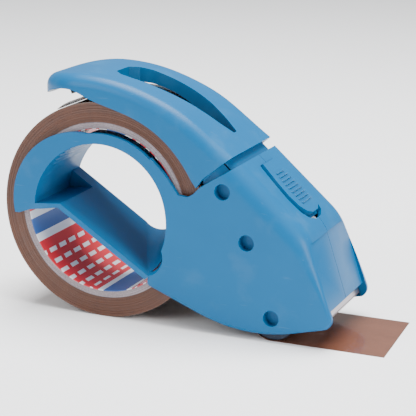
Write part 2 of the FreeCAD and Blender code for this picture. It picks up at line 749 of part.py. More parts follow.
def crown_rule(radius):
    """A rule for the edges along the handle's crown and round its tip."""
    def rule(edge):
        start, end = [vertex.Point for vertex in edge.Vertexes][:2]
        upright = math.hypot(end.x - start.x, end.y - start.y) < 1.0
        least = float(s.roll_radius) + CROWN_LEAST
        low = any(math.hypot(place.x, place.z) < least for place in (start, end))
        limit = float(nose_point("handle_end_low")[0])
        beyond = start.x > limit and end.x > limit
        return None if upright or low or beyond else (radius, radius)
    return rule


CROWN_LEAST = 10.0
SLOT_STATIONS = [(-2.0, 6.5), (2.0, 10.4), (8.0, 11.6), (20.0, 10.8), (30.0, 9.4), (40.0, 7.3), (48.0, 4.6),
                 (54.0, 1.6)]
PAD_FIRST, PAD_LAST = 98.0, 111.0


def slot_plan(name, grow):
    """The handle's slot in plan, grown by the thickness of its collar."""
    last = len(SLOT_STATIONS) - 1
    stations = [(x + grow * ((i == last) - (i == 0)), y + grow) for i, (x, y) in enumerate(SLOT_STATIONS)]
    corners = [VECTOR(x, y, 0) for x, y in both_sides(stations)]
    face = Part.Face(Part.makePolygon(corners + corners[:1]))
    return drawn(name, face.extrude(VECTOR(0, 0, FAR)))


def crown_block(name, inset, depth, half_width):
    """The space under the handle's crown: from an inset down by a depth, or down to the axis."""
    tip_angle = TIP_ANGLE - 1.0
    tip = spot(standoff_point(tip_angle, TIP_STANDOFF - inset))
    top = Part.BSplineCurve()
    points = crown_curve(inset, 20.0)
    top.interpolate(points + [tip])
    if depth:
        lower = [spot(standoff_point(angle, standoff - inset - depth)) for angle, standoff in CROWN]
        low_end = points[0] - spine_out * depth
        low_tip = spot(standoff_point(tip_angle, TIP_STANDOFF - inset - depth))
        edges = [top.toShape(), Part.makePolygon([tip, low_tip] + lower[::-1] + [low_end, points[0]])]
        face = Part.Face(Part.Wire([edges[0]] + edges[1].Edges))
    else:
        edges = Part.makePolygon([tip, VECTOR(tip.x, 0, 0), VECTOR(points[0].x, 0, 0), points[0]]).Edges
        face = Part.Face(Part.Wire([top.toShape()] + edges))
    return across_block(name, face, -half_width, half_width)


def make_handle():
    wall = float(s.handle_wall)
    reach = float(HANDLE_TIP_REACH)
    body = across_block("handle_block", handle_side(), -outer_y, outer_y)
    form = common("handle_form", body, handle_plan("handle_plan", float(outer_y), reach))
    smooth = rounded("handle_smooth", form, [crown_rule(float(s.handle_round))])
    inner = common("handle_inner", crown_block("handle_room", wall, 0.0, float(inner_y)),
                   handle_plan("handle_inner_plan", float(inner_y), reach - wall))
    hollow_form = rounded("handle_hollow", inner, [crown_rule(float(s.handle_round) - 1.5)])
    shell = cut("handle_shell", smooth, hollow_form)

    collar_plan = slot_plan("slot_collar_plan", float(s.slot_wall))
    collar_block = crown_block("slot_collar_block", wall / 2, float(s.collar_depth), float(outer_y))
    collar_band = common("slot_collar_band", collar_plan, collar_block)
    collar = cut("slot_collar", collar_band,
                 rod("collar_clears_roll", AXIS, s.roll_radius + s.collar_clearance, -outer_y, outer_y))
    pad_inner = float(s.roll_radius + s.pad_gap + s.pad_clearance)
    pad_outer = pad_inner + float(s.pad_thickness)
    seat = drawn("pad_seat", sector(AXIS, pad_outer, pad_outer + float(s.pad_seat), PAD_FIRST, PAD_LAST,
                                    s.pad_half_width))
    node(drawn("pad_sector", sector(AXIS, pad_inner, pad_outer, PAD_FIRST, PAD_LAST, s.pad_half_width)),
         "brake_pad")

    neck_y = inner_y - s.neck_clearance
    step = wall + float(s.neck_clearance)
    end, shoulder = nose_point("handle_end"), nose_point("shoulder")
    root = slab("neck_root", [shifted(end, (spine_along, -9.0), (spine_out, -2.6)),
                              shifted(end, (spine_along, -1.5), (spine_out, -2.6)),
                              shifted(end, (spine_along, -1.5), (spine_out, -17.0)),
                              shifted(end, (spine_along, -9.0), (spine_out, -15.0))],
                -inner_y - s.overlap / 2, inner_y + s.overlap / 2)
    outline_points = [shifted(end, (spine_along, -9.0), (spine_out, -2.0)),
                      shifted(end, (spine_along, -1.5), (spine_out, -step)),
                      shifted(shoulder, (spine_along, 3.5), (spine_out, -step)),
                      shifted(pivot, (spine_along, 7.0), (spine_out, 0.0)),
                      shifted(pivot, (spine_along, 0.0), (spine_out, -6.0)),
                      shifted(end, (spine_along, -9.0), (spine_out, -21.0))]
    bounds = hollow("neck_bounds", s.neck_clearance)
    neck = common("neck", slab("neck_block", outline_points, -neck_y, neck_y), bounds)
    lower = [(point[0] - spine_out.x * 2.0, point[1] - spine_out.z * 2.0) for point in outline_points[:3]]
    room_points = [shifted(lower[0], (spine_along, -2.0)), lower[1],
                   shifted(lower[2], (spine_along, 2.0)),
                   shifted(pivot, (spine_along, 30.0), (spine_out, -30.0)),
                   shifted(pivot, (spine_along, -30.0), (spine_out, -30.0))]
    neck_room = slab("neck_room", room_points, -neck_y + s.neck_wall, neck_y - s.neck_wall)
    neck_shell = cut("neck_shell", fuse("neck_whole", neck, root), neck_room)
    lugs = [rod("lug_" + side, pivot, s.lug_radius, low, high)
            for side, low, high in (("near", -neck_y, -neck_y + s.neck_wall + s.lug_thickness),
                                    ("far", neck_y - s.neck_wall - s.lug_thickness, neck_y))]
    clear_roll = rod("neck_clears_roll", AXIS, s.roll_radius + s.pad_gap, -outer_y - 1, outer_y + 1)
    lugs_inside = common("lugs_inside", fuse("lugs", *lugs), bounds)
    web_way = drawn("web_way", web_run(WEB_ROOM))
    arms = cut("neck_arms", fuse("neck_and_lugs", neck_shell, lugs_inside), clear_roll, web_way)
    whole = fuse("handle_whole", shell, collar, seat, arms)
    far_way = rod("roll_way_far", AXIS, s.roll_radius + s.roll_clearance, s.side_gap, outer_y + 1)
    bore = rod("handle_bore", pivot, s.boss_radius + s.running_clearance, -outer_y - 1, outer_y + 1)
    node(cut("handle_open", whole, slot_plan("slot_way", 0.0), far_way, bore), "handle")


# ---------------------------------------------------------------- thumb slider and cutter

def make_slider():
    wall = float(s.wall)
    foot_top = -wall - float(s.slider_gap)
    foot_low = foot_top - float(s.slider_foot)
    knob = on_plane("slider_knob", slider_origin, spine_along, spine_out, both_sides(slider_stations()),
                    foot_top - 0.5, s.slider_proud)
    foot = on_plane("slider_foot_plate", slider_origin, spine_along, spine_out,
                    both_sides([(s.foot_first, s.foot_half_width), (s.foot_last, s.foot_half_width)]),
                    foot_low, foot_top)
    node(fuse("slider_whole", knob, foot), "thumb_slider")
    thickness = float(s.strap_thickness)
    over = foot_low + 1.2
    first = shifted(slider_origin, (spine_along, s.foot_last), (spine_out, over))
    carrier_back = -(wall + float(s.film_gap) + float(s.blade_thickness))
    last = shifted(nose_point("panel_top"), (panel_along, 6.0), (panel_out, carrier_back - 0.6))
    bend = crossing(first, spine_along, last, panel_along)
    inner = [(first[0] - spine_out.x * thickness, first[1] - spine_out.z * thickness),
             (last[0] - panel_out.x * thickness, last[1] - panel_out.z * thickness)]
    inner_bend = crossing(inner[0], spine_along, inner[1], panel_along)
    strap = slab("strap", [first, bend, last, inner[1], inner_bend, inner[0]],
                 -s.strap_half_width, s.strap_half_width)
    bent = rounded("strap_bent", strap, [across_at(bend, 8.0 + thickness), across_at(inner_bend, 8.0)])
    node(bent, "slider_strap")


def panel_spot(along, out):
    """A place behind the front panel: down it, and out of its face."""
    return shifted(nose_point("panel_top"), (panel_along, along), (panel_out, out))


def make_cutter():
    front = -(float(s.wall) + float(s.film_gap))
    back = front - float(s.blade_thickness)
    half = float(half_tape - s.blade_side_gap)
    low = float(s.blade_edge)
    root = low - float(s.blade_tooth_depth)
    top = low - float(s.blade_height)
    teeth = int(float(s.blade_teeth))
    pitch = 2 * half / teeth
    edge = []
    for number in range(teeth):
        start = -half + number * pitch
        edge += [(root, start), (low, start + pitch / 2)]
    edge.append((root, half))
    corner_cut = float(s.blade_corner)
    points = [(top + corner_cut, -half)] + edge + [(top + corner_cut, half), (top, half - corner_cut),
                                                   (top, corner_cut - half)]
    corner = VECTOR(0, 1, 0)
    places = [spot(panel_spot(a, back)) + corner * b for a, b in points]
    plate = Part.Face(Part.makePolygon(places + places[:1])).extrude(panel_out * float(s.blade_thickness))
    rivet_along = top + float(s.rivet_inset)
    holes = []
    for side in (-1, 1):
        place = spot(panel_spot(rivet_along, front - 20.0), side * float(s.rivet_spacing))
        holes.append(Part.makeCylinder(float(s.rivet_radius), 40.0, place, panel_out))
    node(drawn("blade_plate", plate.cut(holes)), "cutter_blade")
    thick = float(s.carrier_thickness)
    carrier = on_plane("carrier_block", nose_point("panel_top"), panel_along, panel_out,
                       both_sides([(s.carrier_first, half - s.carrier_side_gap),
                                   (s.carrier_last, half - s.carrier_side_gap)]), back - thick, back)
    bored = cut("carrier_bored", carrier, drawn("rivet_ways", holes[0].fuse(holes[1])))
    node(bored, "blade_carrier")
    head_height = float(s.rivet_head_height)
    for side, name in ((-1, "near"), (1, "far")):
        start = spot(panel_spot(rivet_along, back - thick - head_height), side * float(s.rivet_spacing))
        shank_length = head_height + thick + float(s.blade_thickness)
        shank = Part.makeCylinder(float(s.rivet_radius), shank_length, start, panel_out)
        head = Part.makeCylinder(float(s.rivet_head_radius), head_height, start, panel_out)
        node(drawn("rivet_" + name, shank.fuse(head)), "blade_rivet_" + name)


def coil(name, start, direction, turns, pitch, radius, wire):
    """A coil spring from a start point along a direction."""
    helix = Part.makeHelix(pitch, pitch * turns, radius)
    ring = Part.Wire(Part.makeCircle(wire / 2, VECTOR(radius, 0, 0), VECTOR(0, 1, 0)))
    body = Part.Wire(helix.Edges).makePipeShell([ring], True, True)
    body.Placement = FreeCAD.Placement(start, FreeCAD.Rotation(VECTOR(0, 0, 1), direction))
    return drawn(name, Part.makeCompound([body]))


def make_springs():
    wire = float(s.spring_wire)
    radius = float(s.boss_radius + s.torsion_gap)
    start = spot(pivot, s.torsion_start)
    node(coil("handle_coil", start, VECTOR(0, 1, 0), float(s.torsion_turns), float(s.torsion_pitch), radius,
              wire), "handle_spring")
    back = -(float(s.wall) + float(s.film_gap) + float(s.blade_thickness) + float(s.carrier_thickness))
    start = spot(panel_spot(7.0, back - float(s.spring_radius) - wire), 14.0)
    node(coil("blade_coil", start, panel_along, float(s.spring_turns), float(s.spring_pitch),
              float(s.spring_radius), wire), "blade_spring")


def make_roller():
    hub_bore = s.boss_radius + s.running_clearance
    tyre_bore = s.roller_radius - s.tyre_thickness
    end = inner_y - s.roller_end_gap
    tube("roller_hub", roller, hub_bore, tyre_bore, -end, end)
    tube("roller_tyre", roller, tyre_bore, s.roller_radius, -end, end)


def make_leaf():
    """The plastic leaf that keeps the tape off the shell on its way down to the roller."""
    leave = math.radians(leave_angle())
    out, down = VECTOR(math.cos(leave), 0, math.sin(leave)), VECTOR(math.sin(leave), 0, -math.cos(leave))
    under = s.roll_radius + s.film_gap + s.tape_thickness + s.leaf_gap
    over = under + s.leaf_thickness
    foot = float(roller[0]) * down.x + float(roller[1]) * down.z - float(s.leaf_short_of_roller)
    level = float(middle[0]) * down.x + float(middle[1]) * down.z

    def block(name, start, end, low, high, half_width):
        corners = [(start, low), (end, low), (end, high), (start, high)]
        points = [shifted(AXIS, (down, along), (out, off)) for along, off in corners]
        return slab(name, points, -half_width, half_width)

    arm_half = float(s.arm_half_height)
    arm_width = s.leaf_half_width - s.arm_inset
    leaf = block("leaf_blade", level - float(s.leaf_above), foot, under, over, s.leaf_half_width)
    arm = block("leaf_arm", level - arm_half, level + arm_half, under + s.leaf_thickness / 2,
                under + s.arm_length, arm_width)
    collar = rod("leaf_collar", middle, s.boss_radius + s.collar_wall, -arm_width, arm_width)
    bore = rod("leaf_bore", middle, s.boss_radius + s.running_clearance, -FAR, FAR)
    node(cut("leaf_whole", fuse("leaf_joined", leaf, arm, collar), bore), "tape_guide_leaf")


make_roll()
make_web()
make_shells()
make_rim()
make_roller()
make_handle()
make_slider()
make_cutter()
make_springs()
make_leaf()
document.recompute()
failed = [thing.Name for thing in document.Objects if "Invalid" in thing.State or "Error" in thing.State]
failed += [thing.Label for thing in nodes if thing.Shape.isNull() or not thing.Shape.isValid()]
if failed:
    raise RuntimeError("these did not build: " + ", ".join(failed))
os.makedirs("parts", exist_ok=True)
for thing in nodes:
    thing.Shape.exportStep("parts/" + thing.Label + ".step")
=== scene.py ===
"""Looks of a ring-type hand dispenser for packing tape.

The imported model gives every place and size. Mouldings are smoothed copies of their CAD nodes, the roll
and the roller sleeve are turned afresh from the nodes' own radii, and the small things that a hand or an
eye meets, such as the thumb ribs and the screws' slots, are modelled here.
"""
import json
import math
import random

import bpy
from mathutils import Matrix, Vector


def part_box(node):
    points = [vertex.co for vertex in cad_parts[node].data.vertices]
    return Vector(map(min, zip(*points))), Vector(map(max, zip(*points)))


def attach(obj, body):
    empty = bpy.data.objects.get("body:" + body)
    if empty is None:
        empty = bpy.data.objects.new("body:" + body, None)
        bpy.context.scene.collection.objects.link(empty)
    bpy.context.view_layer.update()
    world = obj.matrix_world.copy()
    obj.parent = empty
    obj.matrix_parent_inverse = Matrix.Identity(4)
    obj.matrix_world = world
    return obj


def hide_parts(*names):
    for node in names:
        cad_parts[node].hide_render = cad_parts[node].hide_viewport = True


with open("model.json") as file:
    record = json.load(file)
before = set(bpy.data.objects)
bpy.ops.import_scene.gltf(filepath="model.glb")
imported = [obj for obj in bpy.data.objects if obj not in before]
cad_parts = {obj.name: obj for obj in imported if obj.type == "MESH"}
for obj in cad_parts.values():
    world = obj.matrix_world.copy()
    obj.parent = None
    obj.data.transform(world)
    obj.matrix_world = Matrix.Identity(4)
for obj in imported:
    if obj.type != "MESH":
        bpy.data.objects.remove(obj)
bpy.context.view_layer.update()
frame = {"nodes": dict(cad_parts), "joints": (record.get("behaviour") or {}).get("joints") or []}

MM = 0.001
SMOOTH_ANGLE = math.radians(32)
WELD = 0.002 * MM
ACROSS = Vector((0, 1, 0))

# ---------------------------------------------------------------- view

CAMERA_PLACE = Vector((0.2646, -0.6468, 0.2346))
CAMERA_AIM = Vector((-0.0107, 0.0237, 0.0434))
CAMERA_ROLL = math.radians(0.83)
CAMERA_LENS = 136.6

SKY_COLOR, SKY_STRENGTH = (0.96, 0.98, 1.0, 1), 0.46
LIT_POINT = Vector((0, 0, 0.05))
# Place, edge length and power of each softbox.
SOFTBOXES = {
    "overhead_softbox": ((0.0, 0.15, 1.2), 0.9, 46.0),
    "near_softbox": ((-0.7, -1.1, 0.7), 0.8, 11.0),
    "nose_softbox": ((1.1, -0.4, 0.6), 0.5, 13.0)}


def set_camera():
    """The camera, ahead of the cutter and to the near side, a little above."""
    camera = bpy.data.objects.new("camera", bpy.data.cameras.new("camera"))
    camera.data.lens = CAMERA_LENS
    aim = (CAMERA_AIM - CAMERA_PLACE).to_track_quat("-Z", "Y").to_matrix().to_4x4()
    camera.matrix_world = Matrix.Translation(CAMERA_PLACE) @ aim @ Matrix.Rotation(CAMERA_ROLL, 4, "Z")
    bpy.context.scene.collection.objects.link(camera)
    bpy.context.scene.camera = camera


def add_softbox(name, place, size, power):
    """A square studio light that faces the dispenser."""
    light = bpy.data.lights.new(name, "AREA")
    light.shape = "SQUARE"
    light.size = size
    light.energy = power
    holder = bpy.data.objects.new(name, light)
    aim = (LIT_POINT - Vector(place)).to_track_quat("-Z", "Y").to_matrix().to_4x4()
    holder.matrix_world = Matrix.Translation(place) @ aim
    bpy.context.scene.collection.objects.link(holder)


def set_studio():
    """A pale sky, and soft light from above, from the near side and from ahead of the nose."""
    world = bpy.data.worlds.new("studio")
    world.use_nodes = True
    sky = world.node_tree.nodes["Background"]
    sky.inputs["Color"].default_value = SKY_COLOR
    sky.inputs["Strength"].default_value = SKY_STRENGTH
    bpy.context.scene.world = world
    for name, (place, size, power) in SOFTBOXES.items():
        add_softbox(name, place, size, power)


# ---------------------------------------------------------------- materials

class Value:
    """A number that varies over a surface. Arithmetic on it adds Math nodes."""

    def __init__(self, finish, socket):
        self.finish = finish
        self.socket = socket

    def math(self, operation, *numbers):
        return self.finish.node("Math", {"operation": operation}, dict(enumerate(numbers)))

    def __add__(self, other):
        return self.math("ADD", self, other)

    __radd__ = __add__

    def __sub__(self, other):
        return self.math("SUBTRACT", self, other)

    def __rsub__(self, other):
        return self.math("SUBTRACT", other, self)

    def __mul__(self, other):
        return self.math("MULTIPLY", self, other)

    __rmul__ = __mul__

    def __truediv__(self, other):
        return self.math("DIVIDE", self, other)

    def __gt__(self, other):
        return self.math("GREATER_THAN", self, other)

    def __lt__(self, other):
        return self.math("LESS_THAN", self, other)

    def fraction(self):
        return self.math("FRACT", self)


class Finish:
    """One procedural material, with the nodes it is made of."""

    def __init__(self, name, constants):
        self.material = bpy.data.materials.new(name)
        self.material.use_nodes = True
        self.tree = self.material.node_tree
        self.shader = self.tree.nodes["Principled BSDF"]
        self.feed(constants)
        self.place = self.node("TexCoord", {}, {}, "Object")

    def node(self, kind, settings, sockets, output=0):
        """Add a node: its settings first, then the values or links of its sockets."""
        made = self.tree.nodes.new("ShaderNode" + kind)
        for name, setting in settings.items():
            if name == "stops":
                self.set_stops(made.color_ramp, setting)
            else:
                setattr(made, name, setting)
        self.plug(made, sockets)
        return Value(self, made.outputs[output])

    def set_stops(self, ramp, stops):
        """Give a ramp its hard or soft stops: the interpolation, then (place, colour) pairs."""
        ramp.interpolation = stops[0]
        ramp.elements.remove(ramp.elements[1])
        ramp.elements[0].position, ramp.elements[0].color = stops[1]
        for position, color in stops[2:]:
            ramp.elements.new(position).color = color

    def plug(self, made, sockets):
        for name, value in sockets.items():
            if isinstance(value, Value):
                self.tree.links.new(value.socket, made.inputs[name])
            else:
                made.inputs[name].default_value = value

    def feed(self, sockets):
        """Set or link sockets of the shader."""
        self.plug(self.shader, sockets)

    def scaled(self, x, y, z):
        """Object coordinates, stretched along each axis."""
        return self.node("Mapping", {}, {"Vector": self.place, "Scale": (x, y, z)})

    def noise(self, scale, detail=3.0, place=None):
        sockets = {"Vector": place or self.place, "Scale": scale, "Detail": detail, "Roughness": 0.55}
        return self.node("TexNoise", {}, sockets, "Fac")

    def axes(self, centre=(0, 0, 0)):
        """Object coordinates about a centre, as three numbers."""
        moved = self.node("VectorMath", {"operation": "SUBTRACT"}, {0: self.place, 1: centre})
        return [self.node("SeparateXYZ", {}, {0: moved}, axis) for axis in "XYZ"]

    def around(self, centre):
        """Distance from an axis across the dispenser, and the turn about it from -0.5 to 0.5."""
        x, across, z = self.axes(centre)
        radius = x.math("SQRT", x * x + z * z)
        turn = x.math("ARCTAN2", z, x) / math.tau
        return radius, turn, across

    def mixed(self, share, first, second):
        """The first colour where share is 0, the second where it is 1."""
        return self.node("Mix", {"data_type": "RGBA"}, {0: share, 6: first, 7: second}, 2)

    def mask_of(self, value, spans):
        """1 where the value lies in one of the spans."""
        inside = 0.0
        for low, high in spans:
            inside = (value > low) * (value < high) + inside
        return inside

    def bumped(self, height, depth, strength=1.0):
        sockets = {"Height": height, "Distance": depth, "Strength": strength}
        return self.node("Bump", {}, sockets, "Normal")

    def ramped(self, value, low, high):
        """0 below the low value, 1 above the high one, smooth between."""
        sockets = {"Value": value, "From Min": low, "From Max": high}
        return self.node("MapRange", {"interpolation_type": "SMOOTHSTEP"}, sockets)


def rgb(red, green, blue):
    """A colour from its three display values, 0 to 255, as linear light."""
    linear = [((v / 255 + 0.055) / 1.055) ** 2.4 if v > 10 else v / 255 / 12.92 for v in (red, green, blue)]
    return (*linear, 1.0)


SCUFF_COLOR = (0.55, 0.78, 0.88, 1)


def moulded_plastic(name, deep, light, roughness):
    """Injection-moulded plastic: flow marks, a fine tool grain, dull rubbed patches and hairline scuffs."""
    finish = Finish(name, {"Coat Roughness": 0.22, "IOR": 1.42, "Specular IOR Level": 0.22})
    flow = finish.noise(38.0, 2.0)
    grain = finish.noise(2600.0, 2.0)
    peel = finish.noise(260.0, 1.0)
    rubbed = finish.ramped(finish.noise(62.0, 4.0), 0.52, 0.72)
    hair = finish.ramped(finish.noise(900.0, 1.0, finish.scaled(0.06, 1.0, 1.0)), 0.70, 0.74)
    scuffs = hair * finish.ramped(finish.noise(55.0), 0.50, 0.62)
    color = finish.mixed(flow, deep, light)
    finish.feed({
        "Base Color": finish.mixed(scuffs * 0.05 + rubbed * 0.02, color, SCUFF_COLOR),
        "Roughness": roughness + rubbed * 0.08 + scuffs * 0.12 + grain * 0.04,
        "Coat Weight": 0.07 - rubbed * 0.04,
        "Normal": finish.bumped(grain * 0.35 + peel * 0.5 - scuffs * 0.6, 0.03 * MM)})
    return finish.material


def wound_film(name, centre, outer):
    """The roll of brown film: layer lines and faint spokes on its sides, gloss and bubbles on its face."""
    finish = Finish(name, {"Coat Roughness": 0.12, "IOR": 1.5})
    radius, turn, across = finish.around(centre)
    line_place = finish.node("CombineXYZ", {}, {0: radius * 2600.0, 1: turn * 3.0, 2: 0.0})
    layers = finish.noise(1.0, 4.0, line_place)
    wide_place = finish.node("CombineXYZ", {}, {0: radius * 420.0, 1: turn * 1.5, 2: 0.0})
    bands = finish.noise(1.0, 2.0, wide_place)
    spoke_place = finish.node("CombineXYZ", {}, {0: radius * 30.0, 1: turn * 90.0, 2: 0.0})
    spokes = finish.noise(1.0, 3.0, spoke_place)
    wrap_place = finish.node("CombineXYZ", {}, {0: turn * 6.0, 1: across * 160.0, 2: 0.0})
    bubbles = finish.ramped(finish.noise(1.0, 4.0, wrap_place), 0.35, 0.70)
    on_face = finish.ramped(radius, outer - 0.35 * MM, outer - 0.1 * MM)
    side = finish.mixed(finish.ramped(layers * 0.5 + bands * 0.25 + spokes * 0.35, 0.30, 0.80),
                        rgb(66, 33, 16), rgb(87, 47, 25))
    face = finish.mixed(bubbles, rgb(80, 46, 25), rgb(88, 52, 29))
    finish.feed({
        "Base Color": finish.mixed(on_face, side, face),
        "Roughness": 0.34 + layers * 0.16 - on_face * 0.16 + bubbles * on_face * 0.05,
        "Coat Weight": on_face * 0.5,
        "Normal": finish.bumped(layers * (1 - on_face) + bubbles * on_face * 0.5, 0.06 * MM)})
    return finish.material


def clear_film(name):
    """Unwound brown film: see-through, glossy, with faint machine streaks and trapped air."""
    finish = Finish(name, {"Coat Weight": 0.4, "Coat Roughness": 0.06, "IOR": 1.5})
    streaks = finish.noise(700.0, 3.0, finish.scaled(0.02, 1.0, 0.02))
    mottle = finish.noise(120.0, 3.0)
    color = finish.mixed(streaks * 0.5 + mottle * 0.5, rgb(96, 58, 42), rgb(122, 78, 60))
    finish.feed({
        "Base Color": color,
        "Roughness": 0.16 + mottle * 0.14,
        "Alpha": 0.80 + mottle * 0.10 + streaks * 0.06,
        "Normal": finish.bumped(streaks * 0.6 + mottle * 0.8, 0.02 * MM)})
    return finish.material


def rolled_card(name, centre):
    """Grey spiral-wound card: thin plies seen at the ends, and a soft fibrous face."""
    finish = Finish(name, {"IOR": 1.35})
    radius, turn, across = finish.around(centre)
    ply_place = finish.node("CombineXYZ", {}, {0: radius * 3600.0, 1: turn * 4.0, 2: 0.0})
    plies = finish.noise(1.0, 2.0, ply_place)
    fibres = finish.noise(1400.0, 5.0)
    clouds = finish.noise(90.0, 3.0)
    shade = finish.ramped(plies * 0.5 + fibres * 0.3 + clouds * 0.2, 0.35, 0.65)
    finish.feed({
        "Base Color": finish.mixed(shade, rgb(104, 94, 98), rgb(158, 148, 152)),
        "Roughness": 0.82 + fibres * 0.14,
        "Normal": finish.bumped(plies * 0.6 + fibres * 0.7, 0.08 * MM)})
    return finish.material


LINER_RED, LINER_BLUE, LINER_WHITE = rgb(214, 22, 44), rgb(10, 84, 160), rgb(236, 238, 242)
LINER_STRIPES = [(0.000, LINER_BLUE), (0.010, LINER_WHITE), (0.024, LINER_RED), (0.066, LINER_WHITE),
                 (0.080, LINER_BLUE), (0.112, LINER_WHITE), (0.128, LINER_RED), (0.282, LINER_WHITE),
                 (0.294, LINER_BLUE), (0.344, LINER_WHITE), (0.358, LINER_RED), (0.512, LINER_WHITE),
                 (0.526, LINER_BLUE), (0.566, LINER_WHITE), (0.580, LINER_RED), (0.734, LINER_WHITE),
                 (0.748, LINER_BLUE), (0.788, LINER_WHITE), (0.802, LINER_RED), (0.956, LINER_WHITE),
                 (0.970, LINER_BLUE)]
DASHED_PANELS = [(0.136, 0.274), (0.366, 0.504), (0.588, 0.726), (0.810, 0.948)]
LINER_START = 0.547
DASH_ROW, DASH_PITCH, DASH_SLANT = 5.6 * MM, 9.5 * MM, 0.35


def printed_liner(name, centre, inner):
    """The printed paper inside the core: red panels with slanting white dashes, between blue lines."""
    finish = Finish(name, {"Coat Roughness": 0.3, "IOR": 1.45})
    radius, turn, across = finish.around(centre)
    share = (turn + LINER_START).fraction()
    stripes = finish.node("ValToRGB", {"stops": ["CONSTANT"] + LINER_STRIPES}, {"Fac": share}, "Color")
    along = share * math.tau * inner
    rows = (along / DASH_ROW).fraction()
    dashes = ((across + along * DASH_SLANT) / DASH_PITCH).fraction()
    in_panel = finish.mask_of(share, DASHED_PANELS)
    ink = in_panel * finish.mask_of(rows, [(0.32, 0.70)]) * finish.mask_of(dashes, [(0.15, 0.83)])
    fibres = finish.noise(1100.0, 3.0)
    finish.feed({
        "Base Color": finish.mixed(ink * 0.94, stripes, LINER_WHITE),
        "Roughness": 0.42 + fibres * 0.18,
        "Coat Weight": 0.12 + fibres * 0.05,
        "Normal": finish.bumped(fibres, 0.02 * MM)})
    return finish.material


def brushed_steel(name, light, along):
    """Bright steel with grinding lines along one axis and a few dark specks."""
    finish = Finish(name, {"IOR": 2.4})
    stretch = [0.04 if axis == along else 1.0 for axis in range(3)]
    lines = finish.noise(2200.0, 3.0, finish.scaled(*stretch))
    specks = finish.ramped(finish.noise(480.0, 2.0), 0.66, 0.72)
    finish.feed({
        "Base Color": finish.mixed(lines * 0.5 + specks * 0.4, light, rgb(120, 112, 116)),
        "Metallic": 1.0 - specks * 0.3,
        "Roughness": 0.24 + lines * 0.18,
        "Normal": finish.bumped(lines, 0.01 * MM)})
    return finish.material


def sleeve_rubber(name, centre):
    """Dark rubber: fine ground rings, a dusting of lint and worn, greyer bands."""
    finish = Finish(name, {"IOR": 1.5})
    radius, turn, across = finish.around(centre)
    ring_place = finish.node("CombineXYZ", {}, {0: across * 1700.0, 1: turn * 2.0, 2: radius})
    rings = finish.noise(1.0, 2.0, ring_place)
    lint = finish.ramped(finish.noise(700.0, 2.0), 0.60, 0.70)
    worn = finish.noise(80.0, 2.0)
    dark = finish.mixed(worn, rgb(2, 15, 32), rgb(8, 30, 56))
    finish.feed({
        "Base Color": finish.mixed(lint * 0.12, dark, rgb(120, 132, 150)),
        "Roughness": 0.52 + rings * 0.14 + lint * 0.1,
        "Normal": finish.bumped(rings * 0.6 + lint * 0.5, 0.05 * MM)})
    return finish.material


def plain_moulding(name, dark, light, roughness):
    """Small inner mouldings: matte plastic with a spark-eroded grain."""
    finish = Finish(name, {"IOR": 1.46})
    grain = finish.noise(1900.0, 3.0)
    cloud = finish.noise(120.0, 2.0)
    finish.feed({
        "Base Color": finish.mixed(cloud, dark, light),
        "Roughness": roughness + grain * 0.15,
        "Normal": finish.bumped(grain, 0.03 * MM)})
    return finish.material


def studio_floor(name):
    """Pale seamless paper."""
    finish = Finish(name, {"Roughness": 0.85})
    fibres = finish.noise(300.0, 3.0)
    finish.feed({"Base Color": finish.mixed(fibres, (0.86, 0.87, 0.88, 1), (0.90, 0.90, 0.91, 1)),
                 "Normal": finish.bumped(fibres, 0.02 * MM)})
    return finish.material


# ---------------------------------------------------------------- modelling helpers

def deselect_all():
    if bpy.context.object and bpy.context.object.mode != "OBJECT":
        bpy.ops.object.mode_set(mode="OBJECT")
    bpy.ops.object.select_all(action="DESELECT")


def hold(piece):
    """Make a piece the only selected and active one."""
    deselect_all()
    piece.select_set(True)
    bpy.context.view_layer.objects.active = piece


def settle(piece):
    """Bring a piece's place into its mesh and leave its object at the origin."""
    hold(piece)
    bpy.ops.object.transform_apply(location=True, rotation=True, scale=True)


def apply_modifier(piece, kind, **settings):
    hold(piece)
    modifier = piece.modifiers.new(kind.lower(), kind)
    for name, setting in settings.items():
        setattr(modifier, name, setting)
    bpy.ops.object.modifier_apply(modifier=modifier.name)


def dress(piece, material, body):
    """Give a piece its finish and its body."""
    piece.data.materials.clear()
    piece.data.materials.append(material)
    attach(piece, body)


def smoothed_copy(node, name):
    """A merged and smoothly shaded copy of a CAD node, which it replaces."""
    piece = bpy.data.objects.new(name, frame["nodes"][node].data.copy())
    bpy.context.scene.collection.objects.link(piece)
    hold(piece)
    bpy.ops.mesh.customdata_custom_splitnormals_clear()
    bpy.ops.object.mode_set(mode="EDIT")
    bpy.ops.mesh.select_all(action="SELECT")
    bpy.ops.mesh.remove_doubles(threshold=WELD)
    bpy.ops.object.mode_set(mode="OBJECT")
    bpy.ops.object.shade_smooth_by_angle(angle=SMOOTH_ANGLE)
    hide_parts(node)
    return piece


def corners_of(node):
    return [vertex.co for vertex in frame["nodes"][node].data.vertices]


class Ring:
    """The axis, the radii and the two ends of a round CAD node whose axis lies across."""

    def __init__(self, node):
        low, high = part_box(node)
        self.centre = Vector(((low[0] + high[0]) / 2, 0, (low[2] + high[2]) / 2))
        self.outer = (high[0] - low[0]) / 2
        self.inner = min(math.hypot(c.x - self.centre.x, c.z - self.centre.z) for c in corners_of(node))
        self.near, self.far = low[1], high[1]


